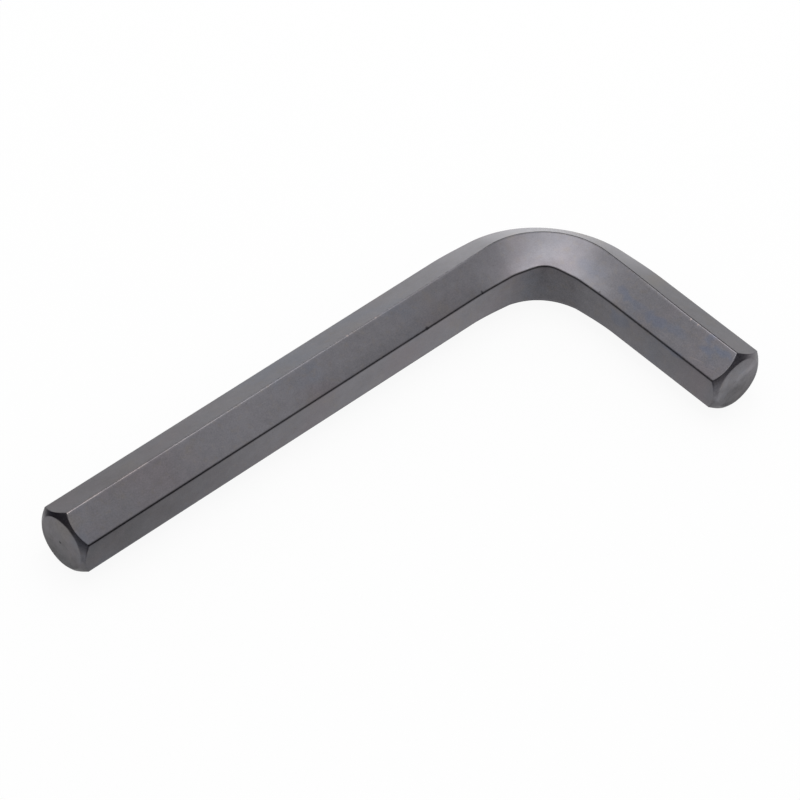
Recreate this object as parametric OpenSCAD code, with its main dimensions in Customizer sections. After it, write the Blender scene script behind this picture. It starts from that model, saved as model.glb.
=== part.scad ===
// Hex key: one length of hexagon bar bent to a right angle, with a turned
// chamfer at each tip. All sizes are in mm, +Z is up and the key lies flat.
//
// The long arm runs along -X and the short arm along -Y. The bar's corners
// point up and down, so a flat faces the inside of the bend and another the
// outside, and the key lies on the lowest edge of the bar.

/* [Bar] */
// Size of the key, measured across the flats of the bar
across_flats = 17; // [5:0.5:36]
// Radius of the bar's long edges
edge_radius = 0.6; // [0.1:0.05:1.5]

/* [Arms] */
// Long arm, from the outside of the bend to its tip
long_arm = 177; // [100:1:400]
// Short arm, from the outside of the bend to its tip
short_arm = 80; // [74:1:200]

/* [Bend] */
// Radius of the bend at the middle of the bar
bend_radius = 21.8; // [18:0.1:60]
// Straight bar on each side of the bend that is strained along with it
bend_reach = 13; // [2:0.5:20]
// How far the inner edges spread apart through the bend, each way
inner_spread = 1.15; // [0:0.05:3]
// How far the inner flat is pushed towards the inside of the bend
inner_push = 1.9; // [0:0.05:3]
// How much bar is drawn away at the outside of the bend
outer_draw = 1.3; // [0:0.1:3]
// How far the outer edges close up at the middle of the bend, each way
outer_pinch = 0.65; // [0:0.05:3]
// How far the top and bottom edges drift outwards along the short arm
ridge_drift = 0.5; // [0:0.1:2]
// Where they drift most, from the middle of the bend
ridge_place = 20; // [5:1:30]

/* [Fold] */
// Bar on each side of the bend's middle that is taken into the fold there
fold_reach = 16; // [5:1:24]
// How far the inner flat falls back at the fold, from where the bend pushed it
fold_back = 1.0; // [0:0.05:2]
// How much further the inner edges spread apart at the fold, each way
fold_spread = 0.4; // [0:0.05:2]

/* [Tips] */
// Diameter of the flat face that the turned chamfer leaves
tip_face_d = 15.1; // [4:0.1:34]
// Length of the chamfer along a corner of the bar
chamfer_length = 1.85; // [0.5:0.05:5]

/* [Quality] */
// Rings of points from one end of the strained bar to the other
bend_rings = 65; // [17:2:81]
// Straight steps round each rounded edge
edge_steps = 4; // [2:1:8]

/* [Hidden] */

OXIDE = [0.28, 0.28, 0.30];

half_flats = across_flats / 2;
half_corners = half_flats / cos(30);
half_edge = half_corners / 2;
// A rounded edge stands this much nearer the middle of the bar than a sharp one.
edge_inset = edge_radius * (1 / cos(30) - 1);
// The bar's axis lies at this height when its lowest edge touches the ground.
axis_height = half_corners - edge_inset;

// The two arms' axes cross here, which puts the origin under the middle of the key.
cross_x = long_arm / 2 - half_flats;
cross_y = short_arm / 2 - half_flats;

// Distances along the bar from the middle of the bend, negative on the long arm.
half_arc = bend_radius * PI / 4;
half_strained = half_arc + bend_reach;
ridge_reach = 30;
drift_end = ridge_place + ridge_reach;
// Each arm starts this far from the crossing, and the bend overlaps it by lap.
long_start = bend_radius + bend_reach;
short_start = bend_radius + drift_end - half_arc;
lap = 2;
// Half of the rings lie on each side of the bend's middle, so that one is on the fold.
half_rings = (bend_rings - 1) / 2;

// A smooth hump: 1 at zero, falling to 0 at -1 and at 1.
function hump(t) = pow(1 - pow(min(1, abs(t)), 2), 2);

// A narrower hump of the same reach.
function crest(t) = pow(hump(t), 2);

// Where the bend moves section point p, which is [outward, up], at distance d.
function strained(p, d) = let (
    strain = hump(d / half_strained),
    fold = crest(d / fold_reach),
    drift = hump((d - ridge_place) / ridge_reach),
    push = strain * inner_push - fold * fold_back,
    spread = strain * inner_spread + fold * fold_spread,
    inner = max(0, -p.x / half_flats),
    outer = max(0, p.x / half_flats),
    side = max(-1, min(1, p.y / half_edge))
) [
    p.x - inner * push - outer * strain * outer_draw + drift * (1 - inner - outer) * ridge_drift,
    p.y + side * (inner * spread - outer * strain * outer_pinch)
];

function unit(v) = v / norm(v);

// Points of an edge_radius arc that rounds corner p between neighbours a and b.
function rounded(a, p, b) = let (
    to_a = unit(a - p),
    to_b = unit(b - p),
    half_angle = acos(to_a * to_b) / 2,
    centre = p + unit(to_a + to_b) * edge_radius / sin(half_angle),
    out = unit(p - centre),
    side = [-out.y, out.x]
) [
    for (i = [0:edge_steps])
        let (turn = (90 - half_angle) * (2 * i / edge_steps - 1))
            centre + edge_radius * (out * cos(turn) + side * sin(turn))
];

// Outline of the straight bar, each point as [outward, up].
function section() = let (
    c = [for (i = [0:5]) half_corners * [cos(30 + 60 * i), sin(30 + 60 * i)]]
) [
    for (i = [0:5]) each rounded(c[(i + 5) % 6], c[i], c[(i + 1) % 6])
];

// Places a section point of the bar at distance d from the middle of the bend.
function placed(p, d) = let (
    on_arc = max(-half_arc, min(half_arc, d)),
    turn = 45 * (1 + on_arc / half_arc),
    past = abs(d) - abs(on_arc),
    r = bend_radius + p.x
) [
    cross_x - bend_radius + r * sin(turn) - (d < 0 ? past : 0),
    cross_y - bend_radius + r * cos(turn) - (d > 0 ? past : 0),
    axis_height + p.y
];

// The bar's section, swept round the bend and strained on the way.
module bend() {
    stations = [
        -half_strained - lap,
        for (i = [-half_rings:half_rings]) (i < 0 ? half_strained : drift_end) * i / half_rings,
        drift_end + lap
    ];
    rings = [for (d = stations) [for (p = section()) placed(strained(p, d), d)]];
    n = len(rings[0]);
    last = len(rings) - 1;
    walls = [
        for (k = [0:last - 1], i = [0:n - 1])
            let (a = k * n + i, b = k * n + (i + 1) % n)
                each [[a, b + n, b], [a, a + n, b + n]]
    ];
    caps = [[for (i = [0:n - 1]) i], [for (i = [n - 1:-1:0]) last * n + i]];
    polyhedron([for (ring = rings) each ring], concat(walls, caps));
}

// Straight bar of the given length, from the origin along +Z.
module straight_bar(length) {
    linear_extrude(length) polygon(section());
}

// What the lathe takes off a tip whose face is at the origin, with the bar below it.
module chamfer_cut() {
    clear = 1;
    slope = (half_corners - tip_face_d / 2) / chamfer_length;
    rotate_extrude($fn = 120)
        polygon([
            [tip_face_d / 2 - clear * slope, clear],
            [half_corners + clear * slope, -chamfer_length - clear],
            [half_corners + clear * slope, clear]
        ]);
}

// The long arm's tip, facing -X.
module at_long_tip() {
    translate([-long_arm / 2, cross_y, axis_height]) rotate([90, 0, -90]) children();
}

// The short arm's tip, facing -Y.
module at_short_tip() {
    translate([cross_x, -short_arm / 2, axis_height]) rotate([90, 0, 0]) children();
}

// An arm as seen from its tip: bar below the origin, with its corners turned off.
module arm(length) {
    difference() {
        translate([0, 0, -length]) straight_bar(length);
        chamfer_cut();
    }
}

module hex_key() {
    color(OXIDE) {
        bend();
        at_long_tip() arm(long_arm - half_flats - long_start);
        at_short_tip() arm(short_arm - half_flats - short_start);
    }
}

hex_key();
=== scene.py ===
"""Hex key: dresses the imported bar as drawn, bent and blackened steel.

The bar is rebuilt as one fine mesh by a Geometry Nodes tree that works as the
real key is made: a hexagon bar, turned at both tips, then bent so that its
section strains. Its sizes are those of the part's source, with fine forms that
the source leaves out. Lengths are in metres.
"""

import logging
import math
from dataclasses import dataclass, field
from enum import Enum
from typing import Optional, Union

import bpy
from mathutils import Matrix, Vector


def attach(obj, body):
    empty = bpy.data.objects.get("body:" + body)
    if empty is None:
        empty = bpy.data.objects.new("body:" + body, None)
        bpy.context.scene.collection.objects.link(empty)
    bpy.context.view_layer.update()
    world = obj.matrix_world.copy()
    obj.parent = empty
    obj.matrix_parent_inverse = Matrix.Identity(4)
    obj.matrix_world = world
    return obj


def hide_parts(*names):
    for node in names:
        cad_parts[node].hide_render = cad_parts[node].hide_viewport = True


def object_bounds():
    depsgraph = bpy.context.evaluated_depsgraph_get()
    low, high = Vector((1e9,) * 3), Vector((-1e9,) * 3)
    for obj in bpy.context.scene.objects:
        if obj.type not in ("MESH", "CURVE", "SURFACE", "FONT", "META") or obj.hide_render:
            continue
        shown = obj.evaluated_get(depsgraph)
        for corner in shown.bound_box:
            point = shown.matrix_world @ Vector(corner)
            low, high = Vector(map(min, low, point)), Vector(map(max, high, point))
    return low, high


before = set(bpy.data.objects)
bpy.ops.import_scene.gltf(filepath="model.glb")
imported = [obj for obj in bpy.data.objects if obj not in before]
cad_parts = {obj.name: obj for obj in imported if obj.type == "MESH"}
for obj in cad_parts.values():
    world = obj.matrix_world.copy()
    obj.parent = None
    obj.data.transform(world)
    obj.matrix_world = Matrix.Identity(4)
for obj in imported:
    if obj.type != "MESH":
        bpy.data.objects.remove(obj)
CAD_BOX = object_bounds()

log = logging.getLogger("hex_key")

MM = 0.001
# A hexagon's width across its flats, as a share of its width across its corners.
FLATS_TO_CORNERS = math.cos(math.pi / 6)

Colour = tuple[float, float, float]
Place = tuple[float, float]
Span = tuple[float, float]


# Node trees


@dataclass(frozen=True)
class Field:
    """A value of a node tree that may change over the surface.

    Sums and products of fields add the nodes that work them out.
    """

    graph: "Graph"
    socket: bpy.types.NodeSocket

    def __add__(self, other: "Number") -> "Field":
        """Sum of this and another number."""
        return self.graph.math("ADD", self, other)

    def __radd__(self, other: "Number") -> "Field":
        """Sum of another number and this."""
        return self.graph.math("ADD", other, self)

    def __sub__(self, other: "Number") -> "Field":
        """This less another number."""
        return self.graph.math("SUBTRACT", self, other)

    def __rsub__(self, other: "Number") -> "Field":
        """Another number less this."""
        return self.graph.math("SUBTRACT", other, self)

    def __mul__(self, other: "Number") -> "Field":
        """Product of this and another number."""
        return self.graph.math("MULTIPLY", self, other)

    def __rmul__(self, other: "Number") -> "Field":
        """Product of another number and this."""
        return self.graph.math("MULTIPLY", other, self)

    def __truediv__(self, other: "Number") -> "Field":
        """This over another number."""
        return self.graph.math("DIVIDE", self, other)

    def __neg__(self) -> "Field":
        """This with its sign changed."""
        return self.graph.math("MULTIPLY", self, -1.0)


Number = Union[Field, float, int]


class Graph:
    """A node tree, with short ways to add nodes and to join their sockets."""

    def __init__(self, tree: bpy.types.NodeTree) -> None:
        """Keeps the tree that the nodes go into."""
        self.tree = tree

    def node(self, kind: str, **settings: object) -> bpy.types.Node:
        """Adds a node.

        Args:
            kind: Blender's name for the kind of node.
            settings: properties of the node to set.

        Returns:
            The new node.
        """
        made = self.tree.nodes.new(kind)
        for name, value in settings.items():
            setattr(made, name, value)
        return made

    def plug(self, socket: bpy.types.NodeSocket, value: object) -> None:
        """Joins a field to an input socket, or writes a constant on it.

        Args:
            socket: the input socket.
            value: the field or the constant.
        """
        if isinstance(value, Field):
            self.tree.links.new(value.socket, socket)
        else:
            socket.default_value = value

    def out(self, node: bpy.types.Node, name: Union[str, int] = 0) -> Field:
        """A node's output socket as a field."""
        return Field(self, node.outputs[name])

    def math(self, operation: str, *values: Number) -> Field:
        """Adds a Math node.

        Args:
            operation: the node's operation, such as ADD.
            values: one to three inputs.

        Returns:
            The node's result.
        """
        made = self.node("ShaderNodeMath", operation=operation)
        for socket, value in zip(made.inputs, values):
            self.plug(socket, value)
        return self.out(made)

    def clamp(self, value: Number, low: Number = 0.0, high: Number = 1.0) -> Field:
        """A value kept between two limits."""
        return self.math("MINIMUM", self.math("MAXIMUM", value, low), high)

    def ramp(self, value: Number, start: Number, end: Number) -> Field:
        """A smooth step that is 0 at start and 1 at end.

        Args:
            value: the number that is stepped.
            start: where the step begins.
            end: where it is complete.

        Returns:
            The step.
        """
        made = self.node("ShaderNodeMapRange", interpolation_type="SMOOTHSTEP")
        self.plug(made.inputs["Value"], value)
        self.plug(made.inputs["From Min"], start)
        self.plug(made.inputs["From Max"], end)
        return self.out(made)

    def fade(self, value: Number, full: Number, none: Number) -> Field:
        """A smooth step that is 1 at full and 0 at none, the higher of the two."""
        return 1.0 - self.ramp(value, full, none)

    def vector(self, x: Number, y: Number, z: Number = 0.0) -> Field:
        """A vector from three numbers.

        Args:
            x: its first number.
            y: its second.
            z: its third.

        Returns:
            The vector.
        """
        made = self.node("ShaderNodeCombineXYZ")
        for socket, value in zip(made.inputs, (x, y, z)):
            self.plug(socket, value)
        return self.out(made)

    def split(self, value: Field) -> tuple[Field, Field, Field]:
        """The three numbers of a vector.

        Args:
            value: the vector.

        Returns:
            Its three numbers.
        """
        made = self.node("ShaderNodeSeparateXYZ")
        self.plug(made.inputs[0], value)
        return self.out(made, 0), self.out(made, 1), self.out(made, 2)


# What the finish is made of


@dataclass(frozen=True)
class Cloud:
    """A noise over the bar.

    The offset keeps it from agreeing with the others, the scale is in features to
    a metre, and the grit is how strong each finer octave is beside the last.
    """

    offset: tuple[float, float, float]
    scale: float
    octaves: float = 3.0
    grit: float = 0.6


@dataclass(frozen=True)
class Grooves:
    """A noise drawn out into lines, with its features to a metre in each coordinate."""

    scale_x: float
    scale_y: float
    offset: float = 0.0
    octaves: float = 3.0
    grit: float = 0.6


@dataclass(frozen=True)
class Tint:
    """A colour that the oxide takes in clouds: from where in the noise, and how much."""

    colour: Colour
    cloud: Cloud
    span: Span
    share: float


@dataclass(frozen=True)
class Spot:
    """A soft mark on the bar: where it is along and round the bar, and its size."""

    along: float
    around: float
    half_length: float
    half_width: float
    strength: float


@dataclass(frozen=True)
class Scratch:
    """A thin straight mark from one place on the bar to another."""

    start: Place
    end: Place
    half_width: float
    strength: float


class Flat(Enum):
    """A part of the bar's girth, as how far round the bar it begins and ends."""

    OUTER = (None, (9.5 * MM, 9.9 * MM))
    UPPER = ((10.2 * MM, 10.8 * MM), (19.3 * MM, 19.8 * MM))
    BY_INNER_EDGE = ((14.0 * MM, 19.0 * MM), (19.5 * MM, 19.9 * MM))
    INNER = ((19.7 * MM, 20.1 * MM), (28.8 * MM, 29.4 * MM))


@dataclass(frozen=True)
class PaintedShade:
    """A stretch of a flat painted darker as shade, or lighter as a painted sheen for less than 0.

    It rises and falls along the bar. None means that it has no such end.
    """

    flat: Flat
    rise: Optional[Span]
    fall: Optional[Span]
    amount: float


@dataclass(frozen=True)
class PaintedDarkLine:
    """A painted dark line along the bar, for the dark reflection along an edge, as wide as its core with
    a soft rim.
    """

    around: float
    core: float
    rim: float
    rise: Span
    fall: Optional[Span]
    amount: float


class ShaderGraph(Graph):
    """A material's node tree."""

    def noise(self, place: Field, scale: float, octaves: float, grit: float) -> Field:
        """Adds a noise.

        Args:
            place: the coordinates that it is read at.
            scale: how many features there are to a metre.
            octaves: how many finer octaves are added.
            grit: how strong each of those is beside the one before.

        Returns:
            A number about 0.5, between 0 and 1.
        """
        made = self.node("ShaderNodeTexNoise", noise_dimensions="3D")
        self.plug(made.inputs["Vector"], place)
        made.inputs["Scale"].default_value = scale
        made.inputs["Detail"].default_value = octaves
        made.inputs["Roughness"].default_value = grit
        return self.out(made, 0)

    def cloud(self, place: Field, cloud: Cloud) -> Field:
        """A cloud's noise at a place.

        Args:
            place: the coordinates that it is read at.
            cloud: which noise.

        Returns:
            A number about 0.5, between 0 and 1.
        """
        made = self.node("ShaderNodeVectorMath", operation="ADD")
        self.plug(made.inputs[0], place)
        self.plug(made.inputs[1], cloud.offset)
        return self.noise(self.out(made), cloud.scale, cloud.octaves, cloud.grit)

    def grooves(self, x: Field, y: Field, lines: Grooves) -> Field:
        """The noise of grooves at two coordinates."""
        place = self.vector(x * lines.scale_x, y * lines.scale_y, lines.offset)
        return self.noise(place, 1.0, lines.octaves, lines.grit)

    def attribute(self, name: str) -> Field:
        """A number that the mesh carries."""
        return self.out(self.node("ShaderNodeAttribute", attribute_name=name), "Fac")

    def blend(self, share: Number, first: object, second: object) -> Field:
        """Mixes two colours; a share of 1 gives the second.

        Args:
            share: how much of the second colour there is.
            first: a colour or a field.
            second: another.

        Returns:
            The mixed colour.
        """
        made = self.node("ShaderNodeMix", data_type="RGBA", clamp_factor=True)
        colours = [socket for socket in made.inputs if socket.type == "RGBA"]
        self.plug(made.inputs[0], share)
        for socket, colour in zip(colours, (first, second)):
            self.plug(socket, colour if isinstance(colour, Field) else (*colour, 1.0))
        return Field(self, next(socket for socket in made.outputs if socket.type == "RGBA"))

    def shade(self, colour: Field, amount: Field) -> Field:
        """A colour made lighter or darker.

        Args:
            colour: the colour.
            amount: what it is multiplied by.

        Returns:
            The new colour.
        """
        made = self.node("ShaderNodeVectorMath", operation="SCALE")
        self.plug(made.inputs[0], colour)
        self.plug(made.inputs["Scale"], amount)
        return self.out(made)

    def within(self, value: Field, rise: Optional[Span], fall: Optional[Span]) -> Number:
        """A soft-edged range of a value.

        Args:
            value: the value.
            rise: where the range starts and where it is whole, or None for no start.
            fall: up to where it is whole and where it ends, or None for no end.

        Returns:
            1 within the range and 0 outside it.
        """
        share: Number = 1.0
        if rise is not None:
            share = share * self.ramp(value, *rise)
        if fall is not None:
            share = share * self.fade(value, *fall)
        return share

    def near(self, value: Field, place: float, core: float, rim: float) -> Field:
        """A soft band about a place: 1 within its core and 0 beyond its rim."""
        return self.fade(self.math("ABSOLUTE", value - place), core, rim)

    def raised(self, share: Field, base: float) -> Field:
        """A share that starts from a base instead of from 0."""
        return base + share * (1 - base)

    def spots(self, x: Field, y: Field, marks: tuple[Spot, ...], edge: Span) -> Field:
        """Soft oval marks, added up.

        Args:
            x: the coordinate that a mark's length runs in, such as the place along the bar.
            y: the coordinate that its width runs in.
            marks: the marks.
            edge: up to where a mark is whole and where it ends, each the square of
                a share of its half size.

        Returns:
            How strong the marks are, from 0 to 1.
        """
        total: Number = 0.0
        for mark in marks:
            off_x = (x - mark.along) / mark.half_length
            off_y = (y - mark.around) / mark.half_width
            total = total + self.fade(off_x * off_x + off_y * off_y, *edge) * mark.strength
        return self.clamp(total)


# The finish


@dataclass(frozen=True)
class BarPlaces:
    """Where a shader is on the bar."""

    object: Field
    x: Field
    y: Field
    height: Field
    along: Field
    around: Field
    turned: Field
    drawn: Field
    from_edge: Field
    from_axis: Field

    @classmethod
    def read(cls, graph: ShaderGraph) -> "BarPlaces":
        """Reads them from the bar's coordinates, its map and its attributes.

        Args:
            graph: the material's tree.

        Returns:
            The places.
        """
        place = graph.out(graph.node("ShaderNodeTexCoord"), "Object")
        along, around, _ = graph.split(graph.out(graph.node("ShaderNodeUVMap", uv_map="bar")))
        x, y, height = graph.split(place)
        turned = graph.attribute("turned")
        return cls(
            object=place,
            x=x,
            y=y,
            height=height,
            along=along,
            around=around,
            turned=turned,
            drawn=1 - turned,
            from_edge=graph.attribute("from_edge"),
            from_axis=graph.attribute("from_axis"),
        )


@dataclass(frozen=True)
class EdgeWearAndSheen:
    """Oxide rubbed off the edges, most on the top and bottom ones, away from the bend; along the top edge
    it is partly a painted highlight.
    """

    band: float = 0.24 * MM
    top_edge: Span = (18.6 * MM, 19.1 * MM)
    bottom_edge: Span = (0.3 * MM, 0.8 * MM)
    long_arm: Span = (-52 * MM, -24 * MM)
    long_tip: Span = (-150 * MM, -110 * MM)
    short_arm: Span = (30 * MM, 55 * MM)
    short_arm_share: float = 0.5
    at_bend: float = 0.12
    off_tip: float = 0.45
    unrubbed: float = 0.15
    ridge_wear_and_sheen: float = 0.34
    rubs: Cloud = Cloud((0.55, 0.35, 0.15), 240.0, 4.0, 0.7)
    rub_span: Span = (0.43, 0.60)
    chips: Cloud = Cloud((0.25, 0.95, 0.65), 900.0, 2.0, 0.5)
    chip_span: Span = (0.62, 0.74)
    chip_strength: float = 0.15

    def mask(self, graph: ShaderGraph, at: BarPlaces) -> Field:
        """How far the oxide is gone, or painted over as a highlight, from 0 to 1.

        Args:
            graph: the material's tree.
            at: where the shader is on the bar.

        Returns:
            0 where the oxide is whole and 1 where the bare steel's colour shows, worn or painted as a
            highlight.
        """
        # Along the top edge this is partly a painted highlight: strong on the arms, faint in the bend.
        ridge = graph.ramp(at.height, *self.top_edge) + graph.fade(at.height, *self.bottom_edge)
        short_arm = graph.ramp(at.along, *self.short_arm) * self.short_arm_share
        arms = graph.fade(at.along, *self.long_arm) + short_arm
        tip = graph.raised(graph.fade(at.along, *self.long_tip), self.off_tip)
        rubbed_and_sheen = graph.ramp(graph.cloud(at.object, self.rubs), *self.rub_span)
        rubbed_and_sheen = graph.raised(rubbed_and_sheen, self.unrubbed) * tip
        rubbed_and_sheen = rubbed_and_sheen * graph.clamp(ridge) * graph.raised(arms, self.at_bend)
        chipped = graph.ramp(graph.cloud(at.object, self.chips), *self.chip_span)
        band = graph.fade(at.from_edge, 0.0, self.band) * at.drawn
        return graph.clamp(band * (rubbed_and_sheen * self.ridge_wear_and_sheen + chipped * self.chip_strength))


@dataclass(frozen=True)
class HandlingMarks:
    """Scratches, nicks and glints of the bar, and the marks on its two end faces."""

    edge: Span = (0.15, 1.6)
    scratch_ends: Span = (0.2, 0.7)
    scratch_sides: Span = (0.3, 1.6)
    scratches: tuple[Scratch, ...] = (
        Scratch((55.0 * MM, 18.4 * MM), (60.6 * MM, 17.1 * MM), 0.09 * MM, 0.8),
        Scratch((60.6 * MM, 17.1 * MM), (65.0 * MM, 16.3 * MM), 0.09 * MM, 0.6),
        Scratch((59.0 * MM, 18.7 * MM), (64.4 * MM, 17.2 * MM), 0.07 * MM, 0.5),
        Scratch((44.0 * MM, 17.6 * MM), (53.0 * MM, 17.9 * MM), 0.07 * MM, 0.4),
        Scratch((-62.0 * MM, 15.0 * MM), (-67.0 * MM, 14.7 * MM), 0.08 * MM, 0.5),
        Scratch((-104.0 * MM, 12.9 * MM), (-96.0 * MM, 13.3 * MM), 0.06 * MM, 0.4),
    )
    nicks: tuple[Spot, ...] = (
        Spot(-27.1 * MM, 19.5 * MM, 0.30 * MM, 0.55 * MM, 0.65),
        Spot(23.5 * MM, 19.4 * MM, 0.28 * MM, 0.45 * MM, 0.35),
        Spot(-47.0 * MM, 19.7 * MM, 0.50 * MM, 0.50 * MM, 0.7),
    )
    glints: tuple[Spot, ...] = (
        Spot(48.7 * MM, 10.4 * MM, 0.25 * MM, 0.40 * MM, 1.0),
        Spot(51.3 * MM, 10.4 * MM, 0.22 * MM, 0.35 * MM, 0.9),
        Spot(-68.0 * MM, 10.0 * MM, 0.40 * MM, 0.40 * MM, 0.8),
        Spot(-58.0 * MM, 10.0 * MM, 0.30 * MM, 0.40 * MM, 0.7),
    )
    long_face: Span = (-88.2 * MM, -87.2 * MM)
    centre_dot: tuple[Spot, ...] = (Spot(31.82 * MM, 9.62 * MM, 0.55 * MM, 0.45 * MM, 0.75),)
    dot_edge: Span = (0.1, 1.2)
    short_face: Span = (-39.7 * MM, -38.7 * MM)
    face_streaks: tuple[Spot, ...] = (
        Spot(83.4 * MM, 12.3 * MM, 3.4 * MM, 1.0 * MM, 0.30),
        Spot(80.4 * MM, 11.2 * MM, 2.0 * MM, 0.7 * MM, 0.22),
        Spot(85.6 * MM, 13.4 * MM, 1.6 * MM, 1.2 * MM, 0.18),
        Spot(72.9 * MM, 8.8 * MM, 1.3 * MM, 1.6 * MM, 0.20),
        Spot(75.2 * MM, 13.6 * MM, 1.0 * MM, 2.6 * MM, 0.10),
    )
    face_smudges: tuple[Spot, ...] = (
        Spot(79.6 * MM, 7.4 * MM, 3.2 * MM, 1.6 * MM, 0.16),
        Spot(76.4 * MM, 10.6 * MM, 1.6 * MM, 1.1 * MM, 0.10),
        Spot(78.4 * MM, 10.9 * MM, 0.5 * MM, 0.4 * MM, 0.22),
    )
    smear_edge: Span = (0.0, 1.8)
    smear_wander: Cloud = Cloud((0.2, 0.6, 0.4), 420.0)
    wander_x: float = 2.2 * MM
    wander_up: float = 0.7

    def scratched(self, graph: ShaderGraph, at: BarPlaces) -> Field:
        """The few long scratches, each drawn where it lies.

        Args:
            graph: the material's tree.
            at: where the shader is on the bar.

        Returns:
            How deep they are, from 0 to 1.
        """
        total: Number = 0.0
        for mark in self.scratches:
            (x0, y0), (x1, y1) = mark.start, mark.end
            length = math.hypot(x1 - x0, y1 - y0)
            dx, dy = (x1 - x0) / length, (y1 - y0) / length
            forth = (at.along - x0) * dx + (at.around - y0) * dy
            off = graph.math("ABSOLUTE", (at.around - y0) * dx - (at.along - x0) * dy)
            starts, ends = (length * share for share in self.scratch_ends)
            inside = graph.within(forth, (0.0, starts), (ends, length))
            line = graph.fade(off, *(mark.half_width * share for share in self.scratch_sides))
            total = total + line * inside * mark.strength
        return graph.clamp(total)

    def nicked(self, graph: ShaderGraph, at: BarPlaces) -> Field:
        """The nicks in the edge inside the bend."""
        return graph.spots(at.along, at.around, self.nicks, self.edge)

    def glinting(self, graph: ShaderGraph, at: BarPlaces) -> Field:
        """Nicks in the top edge, painted bright as glints in the bare steel's colour."""
        return graph.spots(at.along, at.around, self.glints, self.edge)

    def faces(self, graph: ShaderGraph, at: BarPlaces) -> Field:
        """The dot on the long arm's end face, and the streaks and smudges on the short arm's.

        Args:
            graph: the material's tree.
            at: where the shader is on the bar.

        Returns:
            How much lighter they make the oxide, below 0 for darker.
        """
        dot = graph.spots(at.y, at.height, self.centre_dot, self.dot_edge)
        wander = (graph.cloud(at.object, self.smear_wander) - 0.5) * self.wander_x
        across, up = at.x + wander, at.height + wander * self.wander_up
        light = graph.spots(across, up, self.face_streaks, self.smear_edge)
        dim = graph.spots(across, up, self.face_smudges, self.smear_edge)
        smears = (light - dim) * graph.fade(at.y, *self.short_face)
        return smears - dot * graph.fade(at.x, *self.long_face)


@dataclass(frozen=True)
class Skin:
    """What the colour, the gloss and the relief of the finish share."""

    grain: Field
    lines: Field
    rings: Field
    scratched: Field
    nicked: Field
    worn_and_sheen: Field


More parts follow.
